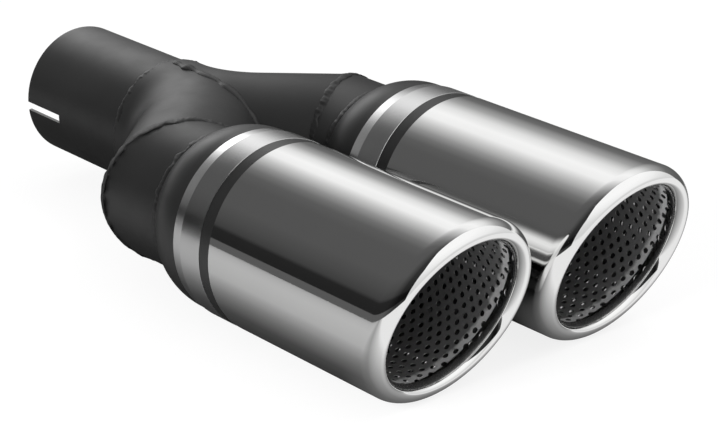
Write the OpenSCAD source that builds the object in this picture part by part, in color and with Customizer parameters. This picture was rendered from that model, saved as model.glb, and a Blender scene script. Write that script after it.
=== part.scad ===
// Twin exhaust tip: a slotted inlet tube, a welded Y of two bent branch pipes, and two round tips.
// Each tip has a spun black cap, a bevelled silver band, a black ring, a polished sleeve whose slanted
// mouth is rolled inwards, and a perforated liner behind the mouth.
// The origin is the centre of the inlet's open end. The tips point along -Y, and +Z is up.

/* [Inlet] */
// Outside diameter of the inlet tube
inlet_od = 60; // [48:0.5:61.5]
// Wall thickness of the inlet tube
inlet_wall = 1.5; // [1:0.1:3]
// Length of the inlet tube behind the branch collar
inlet_len = 71; // [50:1:110]
// Length of the inlet tube that is seated in the branch collar
inlet_seat = 5; // [3:0.5:9]
// Width of a clamp slot
slot_w = 4; // [2:0.5:8]
// Length of a clamp slot
slot_len = 25; // [10:1:35]
// Number of clamp slots round the inlet
slot_count = 2; // [1:1:4]
// Turn of the first clamp slot below the horizontal
slot_turn = 4; // [0:1:45]

/* [Branch pipes] */
// Wall thickness of the branch and outlet pipes
pipe_wall = 1.4; // [1:0.1:1.8]
// Centreline radius of the bend in each branch pipe
bend_r = 50; // [44:1:60]
// Angle that each branch pipe turns away from the inlet
branch_angle = 48; // [42:1:54]
// Distance between the axes of the two tips
tip_pitch = 88; // [86:1:110]
// Length of an outlet pipe between its mitre and the back of its cap
outlet_len = 22.5; // [18:0.5:40]

/* [Welds] */
// Width of a weld bead
weld_w = 4; // [3:0.2:6]
// Height of a weld bead above the pipe
weld_h = 0.8; // [0.4:0.1:1.4]

/* [Rear cap and bands] */
// Outside diameter of the cap at its rim
cap_od = 78.8; // [78.2:0.1:79.6]
// Length of the cap from its back to the silver band
cap_len = 23.3; // [21:0.1:30]
// Length of the crowned part of the cap
cap_crown = 20.5; // [16:0.5:20.5]
// Radius of the crown seen from the side
crown_r = 29; // [27:0.5:34]
// Thickness of the cap
cap_sheet = 2; // [1.5:0.1:2.5]
// Width of the silver band with its bevel
band_w = 17.3; // [12:0.1:24]
// Width of the bevel on the band
bevel_w = 5.4; // [2:0.1:9]
// Width of the black ring
ring_w = 6; // [3:0.5:10]
// Depth of the black ring below the sleeve's surface
ring_sink = 0.2; // [0.1:0.1:0.6]
// Length of the cap's spigot inside the sleeve
spigot_lap = 8; // [5:0.5:20]

/* [Sleeve and mouth] */
// Outside diameter of the polished sleeve
tip_od = 80; // [80:0.5:84]
// Thickness of the sleeve
sleeve_wall = 1.2; // [0.8:0.1:1.5]
// Distance on the axis between the cap's back and the mouth
tip_len = 143.5; // [120:0.5:180]
// Angle by which the top of the mouth leans forwards
mouth_rake = 20.8; // [0:0.2:24]
// Angle by which the left side of the mouth leans forwards
mouth_sweep = 3.4; // [0:0.2:8]
// Inside diameter of the rolled mouth
mouth_d = 65; // [64.6:0.2:68]
// Length of the lip's return leg
lip_return = 8; // [5:0.5:12]

/* [Perforated liner] */
// Thickness of the liner
liner_wall = 1; // [0.6:0.1:1.2]
// Distance of the liner's back end in front of the cap's crown
liner_back = 2; // [0:0.5:20]
// Width of the ring that carries the liner's back end on the outlet pipe
liner_ring_w = 8; // [5:0.5:20]
// Diameter of a hole in the liner
hole_d = 2.4; // [1.6:0.1:3]
// Number of holes in one row round the liner
holes_round = 30; // [20:1:34]
// Distance between two rows of holes
row_pitch = 2.55; // [2.5:0.05:4]
// Number of rows of holes behind the mouth
hole_rows = 11; // [2:1:12]
// Plain length between the return leg and the first holes
plain_edge = 0.6; // [0.2:0.1:3]

/* [Fits] */
// Radial clearance between pieces that slide together
fit = 0.1; // [0.05:0.05:0.2]

/* [Hidden] */
$fn = 96;
SIDES = ["left", "right"];

// Radii
inlet_r = inlet_od / 2;
pipe_ri = inlet_r + fit;
pipe_r = pipe_ri + pipe_wall;
cap_r = cap_od / 2;
tip_r = tip_od / 2;
sleeve_ri = tip_r - sleeve_wall;
spigot_r = sleeve_ri - fit;
mouth_r = mouth_d / 2;
leg_r = mouth_r + sleeve_wall;
liner_ri = leg_r + fit;
liner_r = liner_ri + liner_wall;
lip_mid = (tip_r + mouth_r) / 2;
lip_ro = (tip_r - mouth_r) / 2;
lip_ri = lip_ro - sleeve_wall;

// Places along the axes, counted forwards from the inlet's open end
bend_at = inlet_len + inlet_seat;
bend_tangent = bend_r * tan(branch_angle / 2);
straight_len = tip_pitch / 2 / sin(branch_angle) - bend_tangent;
mitre_at = bend_at + bend_tangent + tip_pitch / 2 / tan(branch_angle);
cap_at = mitre_at + outlet_len;
band_at = cap_at + cap_len;
ring_at = band_at + band_w;
sleeve_at = ring_at + ring_w;
mouth_at = cap_at + tip_len;
liner_at = cap_at + cap_crown + liner_back;
outlet_end = liner_at + liner_ring_w;
spigot_len = cap_len + band_w + ring_w + spigot_lap;

// Slopes of the mouth plane
rake = tan(mouth_rake);
sweep = tan(mouth_sweep);
mouth_slope = norm([rake, sweep]);

black = "#2b2b2b";
silver = "#d9d9d9";
liner_grey = "#4a4a4a";
over = 1;
bend_step = 0.02;
bend_lap = 0.5;
big = 4 * tip_od;

function side_x(side) = side == "left" ? -tip_pitch / 2 : tip_pitch / 2;

// Local Z runs forwards, local X stays X and local Y becomes up
module forwards(x, at) {
    translate([x, -at, 0]) rotate([90, 0, 0]) children();
}

module on_side(side) {
    mirror([side == "left" ? 0 : 1, 0, 0]) children();
}

// Leans what it holds along the mouth plane
module raked() {
    multmatrix([[1, 0, 0, 0], [0, 1, 0, 0], [-sweep, rake, 1, 0], [0, 0, 0, 1]]) children();
}

module tube(ro, ri, len) {
    difference() {
        cylinder(r = ro, h = len);
        translate([0, 0, -over]) cylinder(r = ri, h = len + 2 * over);
    }
}

// Everything in front of the mitre between the left branch pipe and its outlet pipe
module past_mitre(shift) {
    translate([-tip_pitch / 2, 0, mitre_at]) rotate([0, -branch_angle / 2, 0])
        translate([-big / 2, -big / 2, shift]) cube(big);
}

// The left branch's run as a solid rod: collar, bend and straight, up to the mitre.
// The bend is a hair fatter than the straight lengths, which run a little way into it.
module branch_rod(r, back) {
    forwards(0, 0) difference() {
        union() {
            translate([0, 0, inlet_len - back]) cylinder(r = r, h = inlet_seat + back + bend_lap);
            translate([-bend_r, 0, bend_at]) rotate([90, 0, 0])
                rotate_extrude(angle = branch_angle) translate([bend_r, 0]) circle(r = r + bend_step);
            translate([bend_r * (cos(branch_angle) - 1), 0, bend_at + bend_r * sin(branch_angle)])
                rotate([0, -branch_angle, 0]) translate([0, 0, -bend_lap])
                    cylinder(r = r, h = straight_len + bend_lap + tip_r);
        }
        past_mitre(0);
    }
}

// A slab that reaches w to the left of the centre plane
module centre_slab(w) {
    translate([-w, -big, -big / 2]) cube([w, 1.5 * big, big]);
}

module inlet_pipe() {
    color(black) forwards(0, 0) difference() {
        tube(inlet_r, inlet_r - inlet_wall, bend_at);
        for (i = [0:slot_count - 1])
            rotate([0, 0, 180 + slot_turn + i * 360 / slot_count])
                translate([0, -slot_w / 2, -over]) cube([inlet_od, slot_w, slot_len + over]);
    }
}

module inlet_weld() {
    color(black) forwards(0, inlet_len) rotate_extrude() difference() {
        translate([pipe_ri, 0]) circle(r = weld_w / 2);
        square([inlet_r, weld_w]);
        translate([0, -weld_w]) square([inlet_r, weld_w]);
        square([pipe_r, weld_w]);
    }
}

module branch_pipe() {
    difference() {
        branch_rod(pipe_r, 0);
        branch_rod(pipe_ri, over);
        translate([0, -big, -big / 2]) cube([big, 1.5 * big, big]);
    }
}

module centre_weld() {
    color(black) for (side = SIDES) on_side(side) difference() {
        intersection() {
            branch_rod(pipe_r + weld_h, -weld_w / 2);
            centre_slab(weld_w / 2);
        }
        branch_rod(pipe_r, over);
    }
}

// A bead on the outlet's side of the mitre, against the end of the branch pipe
module mitre_weld() {
    forwards(0, 0) difference() {
        translate([-tip_pitch / 2, 0, mitre_at - tip_r]) tube(pipe_r + weld_h, pipe_r, 2 * tip_r);
        past_mitre(weld_w);
        mirror_mitre() past_mitre(0);
    }
}

// Reflects in the mitre plane, which turns the outlet pipe's axis into the branch pipe's axis
module mirror_mitre() {
    translate([-tip_pitch / 2, 0, mitre_at]) mirror([-sin(branch_angle / 2), 0, cos(branch_angle / 2)])
        translate([tip_pitch / 2, 0, -mitre_at]) children();
}

module outlet_pipe() {
    forwards(0, 0) difference() {
        translate([-tip_pitch / 2, 0, mitre_at - tip_r])
            tube(pipe_r, pipe_ri, outlet_end - mitre_at + tip_r);
        mirror_mitre() past_mitre(0);
    }
}

// Half sections of the cap, with its back at zero
module cap_outline() {
    intersection() {
        translate([cap_r - crown_r, cap_crown]) circle(r = crown_r, $fn = 180);
        square([cap_r, cap_crown]);
    }
    translate([0, cap_crown]) square([cap_r, cap_len - cap_crown]);
    translate([0, cap_len - cap_sheet]) square([spigot_r, spigot_len - cap_len + cap_sheet]);
}

module cap_hollow() {
    intersection() {
        translate([cap_r - crown_r, cap_crown]) circle(r = crown_r - cap_sheet, $fn = 180);
        translate([0, cap_sheet]) square([cap_r, cap_crown - cap_sheet]);
    }
    translate([0, cap_crown]) square([cap_r - cap_sheet, spigot_len]);
}

module rear_cap(x) {
    color(black) forwards(x, cap_at) rotate_extrude() difference() {
        cap_outline();
        cap_hollow();
        translate([0, -over]) square([pipe_r + fit, spigot_len]);
    }
}

module cap_weld(x) {
    color(black) forwards(x, cap_at) rotate_extrude() difference() {
        translate([pipe_r, 0]) circle(r = weld_w / 2);
        translate([0, -weld_w]) square([pipe_r, 2 * weld_w]);
        cap_outline();
        translate([0, weld_h]) square([cap_r, weld_w]);
    }
}

module trim_band(x) {
    color(silver) forwards(x, band_at) difference() {
        union() {
            cylinder(r1 = cap_r, r2 = tip_r, h = bevel_w);
            translate([0, 0, bevel_w]) cylinder(r = tip_r, h = band_w - bevel_w);
        }
        translate([0, 0, -over]) cylinder(r = sleeve_ri, h = band_w + 2 * over);
    }
}

module black_ring(x) {
    color(black) forwards(x, ring_at) tube(tip_r - ring_sink, sleeve_ri, ring_w);
}

// Half section of the rolled lip: a half round and the return leg inside it
module lip_section() {
    difference() {
        translate([lip_mid, 0]) circle(r = lip_ro);
        translate([lip_mid, 0]) circle(r = lip_ri);
        translate([0, -tip_r]) square([tip_od, tip_r]);
    }
    translate([mouth_r, -lip_return]) square([sleeve_wall, lip_return]);
}

module outer_sleeve(x) {
    color(silver) {
        forwards(x, sleeve_at) difference() {
            tube(tip_r, sleeve_ri, mouth_at - sleeve_at + tip_r);
            translate([0, 0, mouth_at - sleeve_at]) raked() translate([-tip_od, -tip_od, 0])
                cube(2 * tip_od);
        }
        forwards(x, mouth_at) raked() rotate_extrude() lip_section();
    }
}

module liner_ring(x) {
    color(liner_grey) forwards(x, liner_at) tube(liner_ri - fit, pipe_r + fit, liner_ring_w);
}

// How far the mouth plane lies in front of its centre at an angle round the axis
function mouth_lead(angle) = liner_ri * (rake * sin(angle) - sweep * cos(angle));

// The holes keep to one grid round the axis, and only those in the rows behind the slanted mouth are cut
module perforated_liner(x) {
    first = lip_return + plain_edge + hole_d / 2;
    last = first + hole_rows * row_pitch;
    reach = ceil(mouth_slope * liner_r / row_pitch);
    color(liner_grey) forwards(x, liner_at) difference() {
        tube(liner_r, liner_ri, mouth_at - liner_at + tip_r);
        translate([0, 0, mouth_at - liner_at]) raked() translate([-tip_od, -tip_od, 0]) cube(2 * tip_od);
        for (row = [-reach:reach + ceil(last / row_pitch)], col = [0:holes_round - 1]) {
            turn = (col + (row % 2 == 0 ? 0 : 0.5)) * 360 / holes_round;
            depth = row * row_pitch + mouth_lead(turn);
            if (depth > first && depth < last)
                translate([0, 0, mouth_at - liner_at - row * row_pitch]) rotate([0, 90, turn])
                    translate([0, 0, liner_ri - over]) cylinder(d = hole_d, h = liner_wall + 2 * over, $fn = 16);
        }
    }
}

inlet_pipe();
inlet_weld();
centre_weld();
color(black) on_side("left") branch_pipe();  // left_branch_pipe
color(black) on_side("right") branch_pipe();  // right_branch_pipe
color(black) on_side("left") mitre_weld();  // left_mitre_weld
color(black) on_side("right") mitre_weld();  // right_mitre_weld
color(black) on_side("left") outlet_pipe();  // left_outlet_pipe
color(black) on_side("right") outlet_pipe();  // right_outlet_pipe
cap_weld(side_x("left"));  // left_cap_weld
cap_weld(side_x("right"));  // right_cap_weld
rear_cap(side_x("left"));  // left_rear_cap
rear_cap(side_x("right"));  // right_rear_cap
trim_band(side_x("left"));  // left_trim_band
trim_band(side_x("right"));  // right_trim_band
black_ring(side_x("left"));  // left_black_ring
black_ring(side_x("right"));  // right_black_ring
outer_sleeve(side_x("left"));  // left_outer_sleeve
outer_sleeve(side_x("right"));  // right_outer_sleeve
liner_ring(side_x("left"));  // left_liner_ring
liner_ring(side_x("right"));  // right_liner_ring
perforated_liner(side_x("left"));  // left_perforated_liner
perforated_liner(side_x("right"));  // right_perforated_liner
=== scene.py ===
import math

import bmesh
import bpy
from mathutils import Matrix, Vector, noise


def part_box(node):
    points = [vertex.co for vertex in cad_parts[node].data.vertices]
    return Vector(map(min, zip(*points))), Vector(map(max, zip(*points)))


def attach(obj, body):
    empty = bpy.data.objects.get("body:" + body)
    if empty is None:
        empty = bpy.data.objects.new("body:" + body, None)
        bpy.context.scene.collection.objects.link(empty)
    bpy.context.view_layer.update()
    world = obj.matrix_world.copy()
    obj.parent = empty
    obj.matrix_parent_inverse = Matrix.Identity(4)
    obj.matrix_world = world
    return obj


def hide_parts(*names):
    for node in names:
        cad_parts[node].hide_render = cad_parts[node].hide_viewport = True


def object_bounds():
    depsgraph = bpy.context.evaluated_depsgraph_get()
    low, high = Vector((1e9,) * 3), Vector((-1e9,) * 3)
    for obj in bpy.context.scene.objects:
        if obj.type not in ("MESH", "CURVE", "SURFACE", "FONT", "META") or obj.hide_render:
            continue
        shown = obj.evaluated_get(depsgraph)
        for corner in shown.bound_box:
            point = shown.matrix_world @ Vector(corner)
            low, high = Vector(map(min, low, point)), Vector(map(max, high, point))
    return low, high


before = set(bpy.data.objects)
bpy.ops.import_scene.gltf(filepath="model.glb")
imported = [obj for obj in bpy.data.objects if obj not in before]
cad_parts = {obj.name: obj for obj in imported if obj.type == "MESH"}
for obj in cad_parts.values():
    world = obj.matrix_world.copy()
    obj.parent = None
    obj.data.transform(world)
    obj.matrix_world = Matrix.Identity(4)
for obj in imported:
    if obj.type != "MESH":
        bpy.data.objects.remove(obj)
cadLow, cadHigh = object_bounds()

mm = 0.001
sides = {"left": -1, "right": 1}  # the way each tip lies along X
print("frame loaded:", len(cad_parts), "nodes")

# Camera

view = {
    "azimuth": -41.086,  # degrees, 0 looks along +Y
    "elevation": 21.733,
    "roll": 0.508,
    "distance": 981.804 * mm,
    "target": Vector((8.070, -190.373, -8.936)) * mm,
    "lens": 117.72,
    "sensor": 36,
    "clipStart": 0.05,
}


def makeCamera():
    a, e, roll = (math.radians(view[k]) for k in ("azimuth", "elevation", "roll"))
    back = Vector((math.sin(a) * math.cos(e), -math.cos(a) * math.cos(e), math.sin(e)))
    right = (-back).cross(Vector((0, 0, 1))).normalized()
    up = right.cross(-back)
    camX = right * math.cos(roll) + up * math.sin(roll)
    camY = up * math.cos(roll) - right * math.sin(roll)
    data = bpy.data.cameras.new("camera")
    data.lens = view["lens"]
    data.sensor_width = view["sensor"]
    data.sensor_fit = "HORIZONTAL"
    data.clip_start = view["clipStart"]
    cam = bpy.data.objects.new("camera", data)
    bpy.context.scene.collection.objects.link(cam)
    place = Matrix((camX, camY, back)).transposed().to_4x4()
    place.translation = view["target"] + back * view["distance"]
    cam.matrix_world = place
    bpy.context.scene.camera = cam


makeCamera()
print("camera placed")

# Node helpers


def newMaterial(name):
    mat = bpy.data.materials.new(name)
    mat.use_nodes = True
    tree = mat.node_tree
    tree.nodes.clear()
    out = tree.nodes.new("ShaderNodeOutputMaterial")
    return mat, tree, out


def addNode(tree, kind, **values):
    node = tree.nodes.new(kind)
    for key, value in values.items():
        setattr(node, key, value)
    return node


def setInputs(node, **values):
    for key, value in values.items():
        node.inputs[key].default_value = value
    return node


def addMath(tree, operation, a, b):
    node = addNode(tree, "ShaderNodeMath", operation=operation)
    for socket, v in zip(node.inputs, (a, b)):
        if isinstance(v, bpy.types.NodeSocket):
            tree.links.new(v, socket)
        else:
            socket.default_value = v
    return node.outputs[0]


def addRamp(tree, source, stops):
    ramp = addNode(tree, "ShaderNodeValToRGB")
    bar = ramp.color_ramp.elements
    while len(bar) < len(stops):
        bar.new(0.5)
    for element, (place, level) in zip(bar, stops):
        element.position = place
        element.color = (level, level, level, 1)
    tree.links.new(source, ramp.inputs[0])
    return ramp.outputs[0]


# A ramp whose stops are places in mm
def addPlaceRamp(tree, source, stops):
    low, span = stops[0][0], stops[-1][0] - stops[0][0]
    past = addMath(tree, "SUBTRACT", addMath(tree, "DIVIDE", source, mm), low)
    even = [((place - low) / span, level) for place, level in stops]
    return addRamp(tree, addMath(tree, "DIVIDE", past, span), even)


def addAxes(tree):
    place = addNode(tree, "ShaderNodeTexCoord")
    axes = addNode(tree, "ShaderNodeSeparateXYZ")
    tree.links.new(place.outputs["Object"], axes.inputs[0])
    return axes.outputs


def addGlow(tree, colour):
    glow = setInputs(addNode(tree, "ShaderNodeEmission"), Strength=1.0)
    tree.links.new(colour, glow.inputs["Color"])
    return glow.outputs[0]


def addShaders(tree, first, second):
    both = addNode(tree, "ShaderNodeAddShader")
    for socket, shader in zip(both.inputs, (first, second)):
        tree.links.new(shader, socket)
    return both.outputs[0]


def mixShaders(tree, share, first, second):
    mix = addNode(tree, "ShaderNodeMixShader")
    for socket, source in zip(mix.inputs, (share, first, second)):
        tree.links.new(source, socket)
    return mix.outputs[0]


# Studio: white surroundings, tent, floor and lamps

studio = {
    "floorSize": 12.0,
    "floorSeen": 0.20,  # how much of the floor's own light the camera sees
    "floorWhite": 0.83,
    "front": [(0, 0.74), (0.25, 0.80), (0.55, 1.0), (0.8, 1.10)],  # level by the ray's rise
    "fill": 0.62,
    "white": 1.0,
    "lamps": {
        "key": {"power": 10.0, "size": 1.1, "place": Vector((0.9, -0.7, 1.5))},
        "side": {"power": 11.0, "size": 0.4, "place": Vector((-1.0, -0.40, 0.45))},
    },
}

# Only polished metal sees the tent, an arch of cloth round the tips' axes
tent = {
    "radius": 330 * mm,
    "back": 900 * mm,
    "steps": 194,
    # Where its front edge lies along Y, in mm, by degrees over the top
    "front": [(-7, -305), (50, -310), (80, -340), (115, -415), (140, -520), (187, -600)],
    # Its level by degrees over the top, and what that is multiplied by along Y, in mm
    "levels": [
        (0, 0.11), (17, 0.16), (34, 0.42), (48, 0.86), (60, 1.06), (71, 1.0), (81, 0.66),
        (92, 0.34), (100, 0.19), (108, 0.12), (119, 0.100), (145, 0.098), (158, 0.076),
        (166, 0.056), (169.5, 0.020), (180, 0.018),
    ],
    "shade": [(-600, 0.25), (-420, 0.35), (-380, 0.6), (-300, 1.0), (160, 1.0), (330, 2.6)],
}

# The floor as all but the camera sees it, by places in mm: the share of light that it gives back
# across X, with a painted shadow that darkens it under and beside the tips, and up to the mouths,
# and its own glow ahead of them
table = {
    "across": [
        (-450, 0.02), (-400, 0.19), (-325, 0.27), (-270, 0.34), (-190, 0.40), (-122, 0.41),
        (-105, 0.31), (-94, 0.215), (-85, 0.145), (-78, 0.09), (-67, 0.07), (67, 0.12),
        (85, 0.20), (120, 0.25), (300, 0.22), (450, 0.10),
    ],
    "end": [(262, 1.0), (318, 0)],
    "ahead": [
        (262, 0), (290, 0.10), (304, 0.36), (318, 0.66), (328, 0.92), (600, 0.92), (1500, 0.74),
    ],
}


def between(stops, place):
    for (low, first), (high, last) in zip(stops, stops[1:]):
        if place <= high:
            break
    return first + (last - first) * (place - low) / (high - low)


def stageObject(name, bm, mat):
    mesh = bpy.data.meshes.new(name)
    bm.to_mesh(mesh)
    bm.free()
    mesh.materials.append(mat)
    thing = bpy.data.objects.new(name, mesh)
    bpy.context.scene.collection.objects.link(thing)
    return thing


def makeWorld():
    world = bpy.data.worlds.new("studio")
    bpy.context.scene.world = world
    world.use_nodes = True
    tree = world.node_tree
    tree.nodes.clear()
    out = addNode(tree, "ShaderNodeOutputWorld")
    path = addNode(tree, "ShaderNodeLightPath").outputs
    front, fill, white = (
        setInputs(addNode(tree, "ShaderNodeBackground"), Color=(1, 1, 1, 1), Strength=level)
        for level in (1.0, studio["fill"], studio["white"]))
    tree.links.new(addRamp(tree, addAxes(tree)["Z"], studio["front"]), front.inputs["Color"])
    lit = mixShaders(tree, path["Is Glossy Ray"], fill.outputs[0], front.outputs[0])
    seen = addMath(tree, "MAXIMUM", path["Is Camera Ray"], path["Is Transmission Ray"])
    tree.links.new(mixShaders(tree, seen, lit, white.outputs[0]), out.inputs["Surface"])


def makeTent():
    mat, tree, out = newMaterial("tent")
    axes = addAxes(tree)
    halfTurns = addMath(tree, "DIVIDE", addMath(tree, "ARCTAN2", axes["Z"], axes["X"]), math.pi)
    level = addRamp(tree, halfTurns, [(turn / 180, level) for turn, level in tent["levels"]])
    shade = addPlaceRamp(tree, axes["Y"], tent["shade"])
    glow = addGlow(tree, addMath(tree, "MULTIPLY", level, shade))
    tree.links.new(glow, out.inputs["Surface"])
    bm = bmesh.new()
    start, end = (math.radians(tent["front"][i][0]) for i in (0, -1))
    x, z = tent["radius"] * math.cos(start), tent["radius"] * math.sin(start)
    edge = [bm.verts.new((x, y, z)) for y in (-tent["back"], tent["back"])]
    bmesh.ops.spin(bm, geom=edge + [bm.edges.new(edge)], cent=(0, 0, 0), axis=(0, -1, 0),
                   angle=end - start, steps=tent["steps"])
    for v in bm.verts:
        if v.co.y < 0:
            turn = (math.degrees(math.atan2(v.co.z, v.co.x)) + 90) % 360 - 90
            v.co.y = between(tent["front"], turn) * mm
    arch = stageObject("tent", bm, mat)
    arch.visible_camera = arch.visible_diffuse = arch.visible_transmission = False
    arch.visible_volume_scatter = arch.visible_shadow = False


def makeFloor():
    mat, tree, out = newMaterial("floor")
    path = addNode(tree, "ShaderNodeLightPath")
    axes = addAxes(tree)
    forwards = addMath(tree, "MULTIPLY", axes["Y"], -1)
    # Painted shadow: the floor is darker across X near the tips, where their shade falls
    across = addPlaceRamp(tree, axes["X"], table["across"])
    share = addMath(tree, "MULTIPLY", across, addPlaceRamp(tree, forwards, table["end"]))
    board = setInputs(addNode(tree, "ShaderNodeBsdfDiffuse"), Roughness=0.0)
    tree.links.new(share, board.inputs["Color"])
    ahead = addGlow(tree, addPlaceRamp(tree, forwards, table["ahead"]))
    own = studio["floorSeen"]
    soft = setInputs(addNode(tree, "ShaderNodeBsdfDiffuse"), Color=(own, own, own, 1))
    glow = setInputs(addNode(tree, "ShaderNodeEmission"), Color=(1, 1, 1, 1),
                     Strength=studio["floorWhite"])
    lit = addShaders(tree, board.outputs[0], ahead)
    shown = addShaders(tree, soft.outputs[0], glow.outputs[0])
    floor = mixShaders(tree, path.outputs["Is Camera Ray"], lit, shown)
    tree.links.new(floor, out.inputs["Surface"])
    bm = bmesh.new()
    bmesh.ops.create_grid(bm, x_segments=1, y_segments=1, size=studio["floorSize"] / 2)
    bmesh.ops.translate(bm, verts=bm.verts, vec=(0, 0, cadLow.z))
    stageObject("floor", bm, mat)


def makeLamp(name):
    look = studio["lamps"][name]
    data = bpy.data.lights.new(name, "AREA")
    data.energy = look["power"]
    data.size = look["size"]
    lamp = bpy.data.objects.new(name, data)
    bpy.context.scene.collection.objects.link(lamp)
    lamp.location = look["place"]
    lamp.rotation_euler = (view["target"] - look["place"]).to_track_quat("-Z", "Y").to_euler()
    lamp.visible_glossy = False


makeWorld()
makeTent()
makeFloor()
for name in studio["lamps"]:
    makeLamp(name)
bpy.context.scene.view_settings.view_transform = "Standard"
print("studio built")

# Materials

unevenLook = {
    "cloudDetail": 4.0,
    "cloudRoughness": 0.6,
    "cloudRange": (0.3, 0.7),
    "grainDetail": 2.0,
    "grainScale": 1800.0,
}
paintLook = {
    "patches": 55.0,
    "patchSpread": 0.05,
    "tint": 30.0,
    "tintRange": (0.85, 1.15),
    "bump": 0.25,
}
metalLook = {
    "patches": 40.0,
    "tint": 18.0,
    "tintRange": (0.97, 1.0),
    "lineScale": 4000.0,
    "lineStretch": (0.02, 1, 0.02),
    "lineDetail": 3.0,
    "bump": 0.3,
}


def noiseGroup():
    group = bpy.data.node_groups.new("uneven finish", "ShaderNodeTree")
    for name, way in (("Scale", "INPUT"), ("Low", "INPUT"), ("High", "INPUT"), ("Value", "OUTPUT"),
                      ("Grain", "OUTPUT")):
        group.interface.new_socket(name=name, in_out=way, socket_type="NodeSocketFloat")
    source = group.nodes.new("NodeGroupInput")
    result = group.nodes.new("NodeGroupOutput")
    place = group.nodes.new("ShaderNodeTexCoord")
    cloud = setInputs(addNode(group, "ShaderNodeTexNoise"), Detail=unevenLook["cloudDetail"],
                      Roughness=unevenLook["cloudRoughness"])
    group.links.new(place.outputs["Object"], cloud.inputs["Vector"])
    group.links.new(source.outputs["Scale"], cloud.inputs["Scale"])
    spread = addNode(group, "ShaderNodeMapRange")
    setInputs(spread, **dict(zip(("From Min", "From Max"), unevenLook["cloudRange"])))
    group.links.new(cloud.outputs[0], spread.inputs["Value"])
    group.links.new(source.outputs["Low"], spread.inputs["To Min"])
    group.links.new(source.outputs["High"], spread.inputs["To Max"])
    group.links.new(spread.outputs[0], result.inputs["Value"])
    grain = setInputs(addNode(group, "ShaderNodeTexNoise"), Detail=unevenLook["grainDetail"],
                      Scale=unevenLook["grainScale"])
    group.links.new(place.outputs["Object"], grain.inputs["Vector"])
    group.links.new(grain.outputs[0], result.inputs["Grain"])
    return group


unevenFinish = noiseGroup()


def addUneven(tree, scale, low, high):
    node = addNode(tree, "ShaderNodeGroup", node_tree=unevenFinish)
    return setInputs(node, Scale=scale, Low=low, High=high).outputs


def skinMaterial(name, **values):
    mat, tree, out = newMaterial(name)
    skin = setInputs(addNode(tree, "ShaderNodeBsdfPrincipled"), **values)
    tree.links.new(skin.outputs[0], out.inputs["Surface"])
    return mat, tree, skin


def setColour(tree, skin, levels):
    colour = addNode(tree, "ShaderNodeCombineColor")
    for channel, level in zip(("Red", "Green", "Blue"), levels):
        tree.links.new(level, colour.inputs[channel])
    tree.links.new(colour.outputs[0], skin.inputs["Base Color"])


def setBump(tree, skin, height, strength, depth):
    bump = setInputs(addNode(tree, "ShaderNodeBump"), Strength=strength, Distance=depth)
    tree.links.new(height, bump.inputs["Height"])
    tree.links.new(bump.outputs[0], skin.inputs["Normal"])


def paintMaterial(name, shade, roughness, grainDepth):
    mat, tree, skin = skinMaterial(name, Metallic=0.0)
    spread = paintLook["patchSpread"]
    patches = addUneven(tree, paintLook["patches"], roughness - spread, roughness + spread)
    tree.links.new(patches["Value"], skin.inputs["Roughness"])
    tint = addUneven(tree, paintLook["tint"], *(share * shade for share in paintLook["tintRange"]))
    setColour(tree, skin, [tint["Value"]] * 3)
    setBump(tree, skin, patches["Grain"], paintLook["bump"], grainDepth)
    return mat


def metalMaterial(name, shade, roughness, lineDepth=0.0):
    mat, tree, skin = skinMaterial(name, Metallic=1.0)
    patches = addUneven(tree, metalLook["patches"], *roughness)
    tree.links.new(patches["Value"], skin.inputs["Roughness"])
    tint = addUneven(tree, metalLook["tint"], *metalLook["tintRange"])
    setColour(tree, skin, [addMath(tree, "MULTIPLY", tint["Value"], level) for level in shade])
    if lineDepth:
        place = addNode(tree, "ShaderNodeTexCoord")
        stretch = setInputs(addNode(tree, "ShaderNodeMapping"), Scale=metalLook["lineStretch"])
        tree.links.new(place.outputs["Object"], stretch.inputs["Vector"])
        lines = setInputs(addNode(tree, "ShaderNodeTexNoise"), Scale=metalLook["lineScale"],
                          Detail=metalLook["lineDetail"])
        tree.links.new(stretch.outputs[0], lines.inputs["Vector"])
        setBump(tree, skin, lines.outputs[0], metalLook["bump"], lineDepth)
    return mat


finishes = {
    "pipe": paintMaterial("pipe paint", shade=0.012, roughness=0.42, grainDepth=0.02 * mm),
    "cap": paintMaterial("cap paint", shade=0.011, roughness=0.38, grainDepth=0.012 * mm),
    "weld": paintMaterial("weld paint", shade=0.010, roughness=0.45, grainDepth=0.05 * mm),
    "ring": paintMaterial("ring paint", shade=0.012, roughness=0.30, grainDepth=0.006 * mm),
    "band": metalMaterial("band steel", (0.72, 0.72, 0.72), (0.14, 0.22), lineDepth=0.004 * mm),
    "sleeve": metalMaterial("polished sleeve", (0.86, 0.86, 0.855), (0.035, 0.06)),
    "rim": metalMaterial("punched rim", (0.75, 0.75, 0.75), (0.25, 0.35)),
}
print("materials ready")

# Mesh helpers. Sections are drawn in the plane Z = 0, with forwards along -Y

meshLook = {"merge": 0.0005 * mm, "onPlane": 0.001 * mm, "sharp": 32}


def cleanUp(bm):
    bmesh.ops.remove_doubles(bm, verts=bm.verts, dist=meshLook["merge"])
    bmesh.ops.recalc_face_normals(bm, faces=bm.faces)


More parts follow.
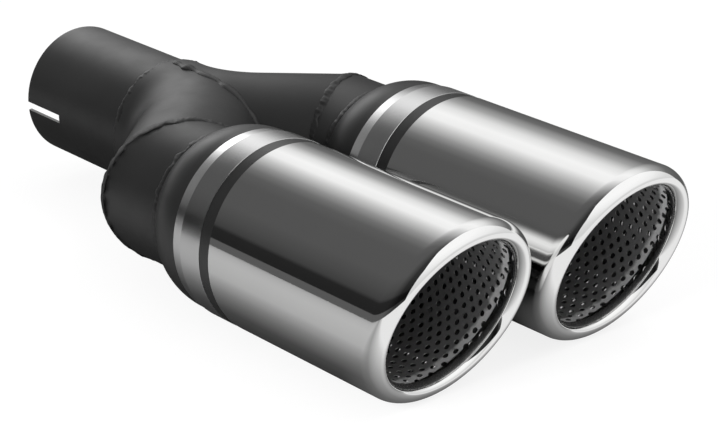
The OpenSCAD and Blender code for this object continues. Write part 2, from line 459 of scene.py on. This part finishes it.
# A move is a point (radius, distance forwards) or an arc (its centre's two, degrees, steps)
def lathe(x0, moves, steps):
    bm = bmesh.new()
    first = pen = bm.verts.new((x0 + moves[0][0], -moves[0][1], 0))
    for r, along, *arc in moves[1:]:
        if arc:
            angle, arcSteps = arc
            turned = bmesh.ops.spin(bm, geom=[pen], cent=(x0 + r, -along, 0), axis=(0, 0, 1),
                                    angle=math.radians(angle), steps=arcSteps)
            pen = [g for g in turned["geom_last"] if isinstance(g, bmesh.types.BMVert)][0]
        else:
            pen = bmesh.ops.extrude_vert_indiv(bm, verts=[pen])["verts"][0]
            pen.co = (x0 + r, -along, 0)
    bm.edges.new((pen, first))
    bmesh.ops.spin(bm, geom=bm.verts[:] + bm.edges[:], cent=(x0, 0, 0), axis=(0, 1, 0),
                   angle=math.tau, steps=steps, use_merge=True)
    cleanUp(bm)
    return bm


def addPiece(name, bm, finish, slot, *nodes, sharp=meshLook["sharp"]):
    mesh = bpy.data.meshes.new(name)
    bm.to_mesh(mesh)
    bm.free()
    mesh.shade_smooth()
    mesh.set_sharp_from_angle(angle=math.radians(sharp))
    mesh.materials.append(finishes[finish])
    piece = bpy.data.objects.new(name, mesh)
    bpy.context.scene.collection.objects.link(piece)
    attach(piece, "root")
    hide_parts(*nodes)
    return piece


def ringOf(node):
    low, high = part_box(node)
    return {
        "x": (low.x + high.x) / 2, "r": (high.x - low.x) / 2, "back": -high.y, "front": -low.y,
    }


def growEdges(bm, edges):
    grown = bmesh.ops.extrude_edge_only(bm, edges=edges)["geom"]
    verts = [g for g in grown if isinstance(g, bmesh.types.BMVert)]
    ends = [g for g in grown if isinstance(g, bmesh.types.BMEdge)
            and g.verts[0] in verts and g.verts[1] in verts]
    return verts, ends


def growTube(bm, edges, way):
    verts, ends = growEdges(bm, edges)
    bmesh.ops.translate(bm, verts=verts, vec=way)


def sheetTube(r, along, length, steps):
    bm = bmesh.new()
    bmesh.ops.create_circle(bm, segments=steps, radius=r)
    bmesh.ops.rotate(bm, verts=bm.verts, matrix=Matrix.Rotation(math.radians(90), 3, "X"))
    bmesh.ops.translate(bm, verts=bm.verts, vec=(0, -along, 0))
    growTube(bm, bm.edges[:], (0, -length, 0))
    return bm


def edgesPast(bm, along):
    return [e for e in bm.edges if all(-v.co.y > along for v in e.verts)]


def cutAway(bm, place, normal):
    bmesh.ops.bisect_plane(bm, geom=bm.verts[:] + bm.edges[:] + bm.faces[:], plane_co=place,
                           dist=meshLook["onPlane"], plane_no=normal, clear_outer=True)


def thicken(bm, wall):
    bmesh.ops.recalc_face_normals(bm, faces=bm.faces)
    bmesh.ops.solidify(bm, geom=bm.faces[:], thickness=wall)
    cleanUp(bm)


# Tip sleeve: one sheet with a slanted mouth, rolled in by a wide shoulder, a tight crown and a
# wide throat

sleeveLook = {
    "sheet": 0.7 * mm,
    "inset": 3.3 * mm,  # from the foremost point of the solid's lip back to that of this one
    "mouthRadius": 33.0 * mm,
    "crown": 2.2 * mm,
    "shoulder": 8.9 * mm,
    "throat": 7.0 * mm,
    "throatFrom": 41.0,  # degrees that the section still has to turn where the throat's arc begins
    "throatTo": 2.0,
    "rake": 19.6,  # degrees that the mouth's top leans forwards
    "sweep": 1.4,  # degrees that its left side leans forwards
    "edge": 0.15 * mm,
    "outerSteps": (20, 28, 12),  # of the shoulder, the crown and the throat
    "innerSteps": (10, 12, 8),
    "steps": 256,
}


def mouthPlane(side):
    ring = ringOf(side + "_outer_sleeve")
    rake, sweep = (math.tan(math.radians(sleeveLook[k])) for k in ("rake", "sweep"))
    crown, shoulder = sleeveLook["crown"], sleeveLook["shoulder"]
    pen = sleeveLook["mouthRadius"] + crown
    inward = pen - (ring["r"] - shoulder)
    behind = math.sqrt((shoulder - crown) ** 2 - inward ** 2)
    front = ring["front"] - sleeveLook["inset"]
    return {
        "at": front - pen * math.hypot(rake, sweep) - crown,
        "rake": rake,
        "sweep": sweep,
        "pen": pen,
        "behind": behind,
        "join": math.degrees(math.atan2(behind, inward)),
        "middle": (ring["r"] + sleeveLook["mouthRadius"]) / 2,
    }


# Carries the lip's section round the slanted mouth, square to its rim, and keeps the straight
# walls parallel
def slantMouth(bm, ring, plane):
    forwards = Vector((0, -1, 0))
    for v in bm.verts:
        r, turn = math.hypot(v.co.x - ring["x"], v.co.z), math.atan2(v.co.z, v.co.x - ring["x"])
        along = -v.co.y
        past = along - plane["at"]
        straight = -plane["behind"] if r > plane["middle"] else 0
        out = Vector((math.cos(turn), 0, math.sin(turn)))
        around = Vector((-math.sin(turn), 0, math.cos(turn)))
        slope = plane["rake"] * around.z - plane["sweep"] * around.x
        ahead = (forwards - slope * around).normalized()
        rim = plane["at"] + plane["pen"] * (plane["rake"] * out.z - plane["sweep"] * out.x)
        place = out * r + ahead * max(past, straight) + forwards * (rim + min(past - straight, 0))
        if past <= straight:
            wall = Vector((place.x, 0, place.z)).normalized() * r
            place.x, place.z = wall.x, wall.z
        if along < ring["back"] + 2 * sleeveLook["edge"]:
            place.y = -along
        v.co = place + Vector((ring["x"], 0, 0))


def makeSleeve(side):
    ring, plane, look = ringOf(side + "_outer_sleeve"), mouthPlane(side), sleeveLook
    sheet, edge, throat = look["sheet"], look["edge"], look["throat"]
    back, r, at, join = ring["back"], ring["r"], plane["at"], plane["join"]
    tangent = at - plane["behind"]
    wider = throat - look["crown"]
    start, end = (math.radians(look[k]) for k in ("throatFrom", "throatTo"))
    deep = plane["pen"] + wider * math.cos(start), at - wider * math.sin(start)
    inside = deep[0] - (throat - sheet) * math.cos(end), deep[1] + (throat - sheet) * math.sin(end)
    arcs = (
        (r - look["shoulder"], tangent, join),
        (plane["pen"], at, 180 - join - look["throatFrom"]),
        (*deep, look["throatFrom"] - look["throatTo"]),
    )
    outer = [(x, along, -turn, steps) for (x, along, turn), steps in zip(arcs, look["outerSteps"])]
    inner = [(*arc, steps) for arc, steps in zip(arcs, look["innerSteps"])]
    moves = [(r - edge, back), (r, back + edge), (r, tangent), *outer, inside, *reversed(inner),
             (r - sheet, back)]
    bm = lathe(ring["x"], moves, look["steps"])
    slantMouth(bm, ring, plane)
    bmesh.ops.recalc_face_normals(bm, faces=bm.faces)
    addPiece(side + "_sleeve", bm, "sleeve", "sleeve_polished", side + "_outer_sleeve")


# Band, black ring and cap behind the sleeve

bandLook = {"wall": 1.2 * mm, "bevel": 5.4 * mm, "edge": 0.12 * mm, "steps": 256, "sharp": 4}
capLook = {
    "sheet": 2.0 * mm,
    "crown": 29.0 * mm,
    "rim": 2.8 * mm,
    "step": 0.7 * mm,
    "fit": 0.1 * mm,
    "outerSteps": 28,
    "innerSteps": 16,
    "steps": 192,
}


def makeBand(side):
    ring, cap = ringOf(side + "_trim_band"), ringOf(side + "_rear_cap")
    edge, bore = bandLook["edge"], ring["r"] - bandLook["wall"]
    back, front = ring["back"], ring["front"]
    moves = [
        (cap["r"] - edge, back), (cap["r"], back + edge), (ring["r"], back + bandLook["bevel"]),
        (ring["r"], front - edge), (ring["r"] - edge, front), (bore, front), (bore, back),
    ]
    addPiece(side + "_band", lathe(ring["x"], moves, bandLook["steps"]), "band", "band_silver",
             side + "_trim_band", sharp=bandLook["sharp"])


def makeBlackRing(side):
    ring = ringOf(side + "_black_ring")
    edge, bore = bandLook["edge"], ringOf(side + "_trim_band")["r"] - bandLook["wall"]
    r, back, front = ring["r"], ring["back"], ring["front"]
    moves = [
        (r - edge, back), (r, back + edge), (r, front - edge), (r - edge, front),
        (bore, front), (bore, back),
    ]
    addPiece(side + "_ring", lathe(ring["x"], moves, bandLook["steps"]), "ring", "ring_black",
             side + "_black_ring")


def makeCap(side):
    cap, band, pipe = (ringOf(side + n) for n in ("_rear_cap", "_trim_band", "_outlet_pipe"))
    hole = pipe["r"] + capLook["fit"]
    mid, crownAt = cap["r"] - capLook["crown"], band["back"] - capLook["rim"]
    outer, inner = capLook["crown"], capLook["crown"] - capLook["sheet"]
    outerTurn, innerTurn = (math.acos((hole - mid) / r) for r in (outer, inner))
    spigot, bore = cap["r"] - capLook["step"], cap["r"] - capLook["sheet"]
    moves = [
        (hole, crownAt - outer * math.sin(outerTurn)),
        (mid, crownAt, -math.degrees(outerTurn), capLook["outerSteps"]),
        (cap["r"], band["back"]), (spigot, band["back"]), (spigot, cap["front"]),
        (bore, cap["front"]), (bore, crownAt),
        (mid, crownAt, math.degrees(innerTurn), capLook["innerSteps"]),
    ]
    addPiece(side + "_cap", lathe(cap["x"], moves, capLook["steps"]), "cap", "cap_black",
             side + "_rear_cap")


for side in sides:
    makeSleeve(side)
    makeBand(side)
    makeBlackRing(side)
    makeCap(side)
print("tips made")

# Perforated liner: staggered rows of holes in one rolled sheet

linerLook = {
    "wall": 1.0 * mm,
    "sheet": 0.35 * mm,
    "behindLip": 7.2 * mm,
    "rowShift": 1.3 * mm,
    "holeRadius": 1.24 * mm,  # below half the row pitch
    "holesRound": 30,
    "rowPitch": 2.55 * mm,
    "holeSides": 12,
    "plainBack": 6.0 * mm,
    "merge": 0.01 * mm,
    "sharp": 40,
    "rimTilt": 0.5,  # a face that leans out less than this is a hole's wall or the sheet's edge
    # Painted light and shade: the liner's colour is light just behind the mouth and dark deeper
    # inside
    "paintedLightByDepth": [(10.6, 1.0), (12.4, 0.26), (30, 0.20)],  # level by depth behind the mouth, in mm
    "patches": 150.0,
    "patchDepth": 1.2 * mm,
    "metallic": 0.2,
    "roughness": 0.36,
    "bump": 0.3,
    "bumpDepth": 0.004 * mm,
}


def holeCell(r):
    bm = bmesh.new()
    wide, tall = math.tau / linerLook["holesRound"] * r, linerLook["rowPitch"]
    bmesh.ops.create_circle(bm, segments=linerLook["holeSides"], radius=linerLook["holeRadius"])
    edge = [(0.5, 0), (0.5, 0.5), (0.25, 0.5), (0, 0.5), (-0.25, 0.5), (-0.5, 0.5), (-0.5, 0)]
    edge += [(-x, -y) for x, y in edge[1:-1]]
    rim = [bm.verts.new((x * wide, y * tall, 0)) for x, y in edge]
    for i, v in enumerate(rim):
        bm.edges.new((rim[i - 1], v))
    bmesh.ops.bridge_loops(bm, edges=bm.edges)
    mesh = bpy.data.meshes.new("cell")
    bm.to_mesh(mesh)
    bm.free()
    return mesh


# Painted light on the steel just behind the return leg, where lamp light falls, and painted shade
# deeper inside, where the lip shades the liner
def linerMaterial():
    mat, tree, skin = skinMaterial("liner steel painted light and shade", Metallic=linerLook["metallic"],
                                   Roughness=linerLook["roughness"])
    plane = mouthPlane("left")
    axes = addAxes(tree)
    spread = linerLook["patchDepth"]
    patches = addUneven(tree, linerLook["patches"], -spread, spread)
    depth = addMath(tree, "ADD", addMath(tree, "MULTIPLY", axes["Z"], plane["rake"]), axes["Y"])
    depth = addMath(tree, "ADD", addMath(tree, "ADD", depth, plane["at"]), patches["Value"])
    # Painted light and shade: the colour follows the depth behind the mouth, with a ragged edge
    setColour(tree, skin, [addPlaceRamp(tree, depth, linerLook["paintedLightByDepth"])] * 3)
    setBump(tree, skin, patches["Grain"], linerLook["bump"], linerLook["bumpDepth"])
    return mat


def makeLiner(side):
    ring, plane = ringOf(side + "_perforated_liner"), mouthPlane(side)
    r = ring["r"] - linerLook["wall"]
    cell = holeCell(r)
    bm = bmesh.new()
    pitch = linerLook["rowPitch"]
    start = plane["at"] - linerLook["rowShift"]
    first = math.floor((start - ring["front"]) / pitch)
    last = math.floor((start - ring["back"] - linerLook["plainBack"]) / pitch)
    for row in range(first, last + 1):
        for col in range(linerLook["holesRound"]):
            before = len(bm.verts)
            bm.from_mesh(cell)
            bm.verts.ensure_lookup_table()
            turn = (col + (0.5 if row % 2 else 0)) / linerLook["holesRound"] * math.tau
            for v in bm.verts[before:]:
                angle = turn + v.co.x / r
                v.co = (ring["x"] + r * math.cos(angle), row * pitch - start + v.co.y,
                        r * math.sin(angle))
    bpy.data.meshes.remove(cell)
    bmesh.ops.remove_doubles(bm, verts=bm.verts, dist=linerLook["merge"])
    cutAway(bm, (ring["x"], linerLook["behindLip"] - plane["at"], 0),
            Vector((plane["sweep"], -1, -plane["rake"])))
    bmesh.ops.recalc_face_normals(bm, faces=bm.faces)
    thicken(bm, -linerLook["sheet"])
    for face in bm.faces:
        middle = face.calc_center_median()
        out = Vector((middle.x - ring["x"], 0, middle.z)).normalized()
        face.material_index = int(abs(face.normal.dot(out)) < linerLook["rimTilt"])
    piece = addPiece(side + "_liner", bm, "liner", "liner_steel", side + "_perforated_liner",
                     sharp=linerLook["sharp"])
    piece.data.materials.append(finishes["rim"])


finishes["liner"] = linerMaterial()
for side in sides:
    makeLiner(side)
print("liners made")

# Inlet tube with its clamp slots, branch pipes and outlet pipes

pipeLook = {
    "wall": 1.4 * mm,
    "inletWall": 1.5 * mm,
    "slotLength": 25.0 * mm,
    "slotTurns": (184, 4),  # degrees from +X over the top
    "slotFaces": 4,
    "bend": 50.0 * mm,
    "bendSteps": 32,
    "turn": 48.0,
    "seat": 5.0 * mm,
    "steps": 192,
}


def makeInlet():
    tube = ringOf("inlet_pipe")
    bm = sheetTube(tube["r"], tube["back"], pipeLook["slotLength"], pipeLook["steps"])
    half = pipeLook["slotFaces"] / 2 * 360 / pipeLook["steps"]
    slotted = []
    for face in bm.faces:
        middle = face.calc_center_median()
        turn = math.degrees(math.atan2(middle.z, middle.x))
        if any(abs((turn - slot + 180) % 360 - 180) < half for slot in pipeLook["slotTurns"]):
            slotted.append(face)
    growTube(bm, edgesPast(bm, pipeLook["slotLength"] / 2),
             (0, pipeLook["slotLength"] - tube["front"], 0))
    bmesh.ops.delete(bm, geom=slotted, context="FACES_KEEP_BOUNDARY")
    bmesh.ops.delete(bm, geom=[v for v in bm.verts if not v.link_faces], context="VERTS")
    thicken(bm, pipeLook["inletWall"])
    addPiece("inlet_tube", bm, "pipe", "pipe_black", "inlet_pipe")


# The plane of the cut between a branch pipe and its outlet pipe
def mitreOf(side):
    pipe, half = ringOf(side + "_outlet_pipe"), math.radians(pipeLook["turn"] / 2)
    place = Vector((pipe["x"], -(pipe["back"] + pipe["r"] * math.tan(half)), 0))
    return place, Vector((sides[side] * math.sin(half), -math.cos(half), 0))


def makeBranch(side):
    pipe, inlet, way = ringOf(side + "_outlet_pipe"), ringOf("inlet_pipe"), sides[side]
    collar = inlet["front"] - pipeLook["seat"]
    bm = sheetTube(pipe["r"], collar, pipeLook["seat"], pipeLook["steps"])
    edges = edgesPast(bm, collar + pipeLook["seat"] / 2)
    turn = math.radians(pipeLook["turn"])
    spun = bmesh.ops.spin(bm, geom=edges + list({v for e in edges for v in e.verts}),
                          cent=(way * pipeLook["bend"], -inlet["front"], 0), axis=(0, 0, 1),
                          angle=way * turn, steps=pipeLook["bendSteps"])
    edges = [g for g in spun["geom_last"] if isinstance(g, bmesh.types.BMEdge)]
    reach = 2 * abs(pipe["x"])
    growTube(bm, edges, (way * reach * math.sin(turn), -reach * math.cos(turn), 0))
    cleanUp(bm)
    cutAway(bm, *mitreOf(side))
    cutAway(bm, (0, 0, 0), (-way, 0, 0))
    thicken(bm, pipeLook["wall"])
    addPiece(side + "_branch", bm, "pipe", "pipe_black", side + "_branch_pipe")


def makeOutlet(side):
    pipe = ringOf(side + "_outlet_pipe")
    bm = sheetTube(pipe["r"], pipe["back"], pipe["front"] - pipe["back"], pipeLook["steps"])
    bmesh.ops.translate(bm, verts=bm.verts, vec=(pipe["x"], 0, 0))
    place, normal = mitreOf(side)
    cutAway(bm, place, -normal)
    thicken(bm, pipeLook["wall"])
    addPiece(side + "_outlet", bm, "pipe", "pipe_black", side + "_outlet_pipe")


makeInlet()
for side in sides:
    makeBranch(side)
    makeOutlet(side)
print("pipes made")

# Weld beads: uneven hand-laid rings, and one long bead on the centre plane

weldLook = {
    "width": 4.0 * mm,
    "height": 0.8 * mm,
    "root": 1.2 * mm,
    "steps": 300,
    "arcSteps": 10,
    "ripple": 0.16,
    "ripplePitch": 2.2 * mm,
    "rippleLag": 2.0,  # how far a ripple's middle trails its edge, in radians
    "lumps": 0.9,
    "lumpShare": 0.6,
    "lumpScales": (1.6, 4.5),
    "spread": 0.7,
    "spreadScale": 3.1,
    "wander": 0.9 * mm,
    "wanderScale": 2.2,
    "noiseScale": 3,
    "least": 0.25,
    "dressed": 0.8,  # share of the bead that is ground away outside the bend
    "inletRise": 0.6 * mm,
    "capLap": 0.2 * mm,
    "seeds": {"inlet": 1, "mitre": 2, "cap": 3},
}
seamLook = {
    "sunk": 0.3 * mm,
    "points": 90,
    "closest": 0.05 * mm,
    "sides": 12,
    "rise": 1.5,  # times the ring welds' height
    "lumpScale": 160,
    "wanderScale": 90,
    "wanderFrom": Vector((5, 0, 0)),
}


def beadRing(r, seed, outside=None):
    w, h, root = weldLook["width"] / 2, weldLook["height"], r - weldLook["root"]
    turns = (math.pi * i / weldLook["arcSteps"] for i in range(weldLook["arcSteps"] + 1))
    arc = [(r + h * math.sin(t), -w * math.cos(t)) for t in turns]
    bm = lathe(0, [(root, -w), *arc, (root, w)], weldLook["steps"])
    for v in bm.verts:
        out = math.hypot(v.co.x, v.co.z)
        if out < r - h / 2:
            continue
        turn = math.atan2(v.co.z, v.co.x)
        spot = Vector((math.cos(turn), math.sin(turn), seed)) * weldLook["noiseScale"]
        lump = sum(weldLook["lumpShare"] * noise.noise(spot * s) for s in weldLook["lumpScales"])
        beat = math.sin(turn * r / weldLook["ripplePitch"] * math.tau
                        + weldLook["rippleLag"] * v.co.y / w)
        swell = 1 + weldLook["lumps"] * lump + weldLook["ripple"] * beat
        swell = max(swell, weldLook["least"])
        if outside is not None:
            swell *= 1 - weldLook["dressed"] * max(0, math.cos(turn - outside)) ** 0.5
        grown = r + (out - r) * swell
        v.co.x, v.co.z = grown * math.cos(turn), grown * math.sin(turn)
        v.co.y *= 1 + weldLook["spread"] * noise.noise(spot * weldLook["spreadScale"])
        v.co.y += weldLook["wander"] * noise.noise(spot * weldLook["wanderScale"])
    return bm


def makeRingWeld(name, x0, r, along, node, seed):
    bm = beadRing(r, seed)
    bmesh.ops.translate(bm, verts=bm.verts, vec=(x0, -along, 0))
    addPiece(name, bm, "weld", "weld_black", node)


def makeMitreWeld(side, seed):
    half = math.radians(pipeLook["turn"] / 2)
    outside = math.pi if side == "left" else 0
    place, normal = mitreOf(side)
    bm = beadRing(ringOf(side + "_outlet_pipe")["r"], seed, outside)
    bmesh.ops.scale(bm, verts=bm.verts, vec=(1 / math.cos(half), 1, 1))
    bmesh.ops.rotate(bm, verts=bm.verts, cent=(0, 0, 0),
                     matrix=Matrix.Rotation(sides[side] * half, 3, "Z"))
    bmesh.ops.translate(bm, verts=bm.verts, vec=place)
    addPiece(side + "_mitre_bead", bm, "weld", "weld_black", side + "_mitre_weld")


# Height of the branch pipes' seam on the centre plane
def seamHeight(along, r, bendAt):
    turn, bend = math.radians(pipeLook["turn"]), pipeLook["bend"]
    if along <= bendAt:
        off = 0
    elif math.atan2(along - bendAt, bend) < turn:
        off = math.hypot(bend, along - bendAt) - bend
    else:
        off = bend * (math.cos(turn) - 1) + (along - bendAt) * math.sin(turn)
    return math.sqrt(max(r * r - off * off, 0))


# From the inlet over the top to the crotch, and back underneath
def seamPath():
    inlet = ringOf("inlet_pipe")
    r = ringOf("left_outlet_pipe")["r"] - seamLook["sunk"]
    turn = math.radians(pipeLook["turn"])
    start = -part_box("centre_weld")[1].y
    crotch = inlet["front"] + (r + pipeLook["bend"] * (1 - math.cos(turn))) / math.sin(turn)
    half = []
    for i in range(seamLook["points"] + 1):
        along = start + (crotch - start) * math.sin(math.pi / 2 * i / seamLook["points"])
        half.append(Vector((0, -along, seamHeight(along, r, inlet["front"]))))
    path = half + [Vector((0, p.y, -p.z)) for p in reversed(half[:-1])]
    return [p for i, p in enumerate(path)
            if i == 0 or (p - path[i - 1]).length > seamLook["closest"]]


# Swept in mm, so that the tiny bead keeps its precision
def makeCentreWeld():
    path, across = seamPath(), Vector((1, 0, 0))
    bm = bmesh.new()
    verts = bmesh.ops.create_circle(bm, segments=seamLook["sides"], radius=1)["verts"]
    edges, previous = bm.edges[:], Matrix()
    for i, p in enumerate(path):
        way = (path[min(i + 1, len(path) - 1)] - path[max(i - 1, 0)]).normalized()
        swell = 1 + weldLook["lumps"] * noise.noise(p * seamLook["lumpScale"])
        wide = weldLook["width"] / 2 * swell / mm
        tall = weldLook["height"] * seamLook["rise"] * swell / mm
        spot = p * seamLook["wanderScale"] + seamLook["wanderFrom"]
        shift = weldLook["wander"] * noise.noise(spot)
        here = Matrix((across * wide, across.cross(way) * tall, way)).transposed().to_4x4()
        here.translation = (p + across * shift) / mm
        if i > 0:
            verts, edges = growEdges(bm, edges)
        bmesh.ops.transform(bm, matrix=here @ previous.inverted(), verts=verts)
        previous = here
    bmesh.ops.holes_fill(bm, edges=bm.edges, sides=seamLook["sides"])
    bmesh.ops.scale(bm, verts=bm.verts, vec=(mm, mm, mm))
    cleanUp(bm)
    addPiece("centre_bead", bm, "weld", "weld_black", "centre_weld")


inletRing, seeds = ringOf("inlet_pipe"), weldLook["seeds"]
makeRingWeld("inlet_bead", 0, inletRing["r"] + weldLook["inletRise"],
             inletRing["front"] - pipeLook["seat"], "inlet_weld", seeds["inlet"])
for side, way in sides.items():
    pipe, cap = ringOf(side + "_outlet_pipe"), ringOf(side + "_rear_cap")
    makeRingWeld(side + "_cap_bead", pipe["x"], pipe["r"], cap["back"] - weldLook["capLap"],
                 side + "_cap_weld", seeds["cap"] * way)
    makeMitreWeld(side, seeds["mitre"] * way)
makeCentreWeld()
print("welds made")

# What stays as the frame holds it

for side in sides:
    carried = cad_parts[side + "_liner_ring"]
    carried.data.materials.clear()
    carried.data.materials.append(finishes["liner"])
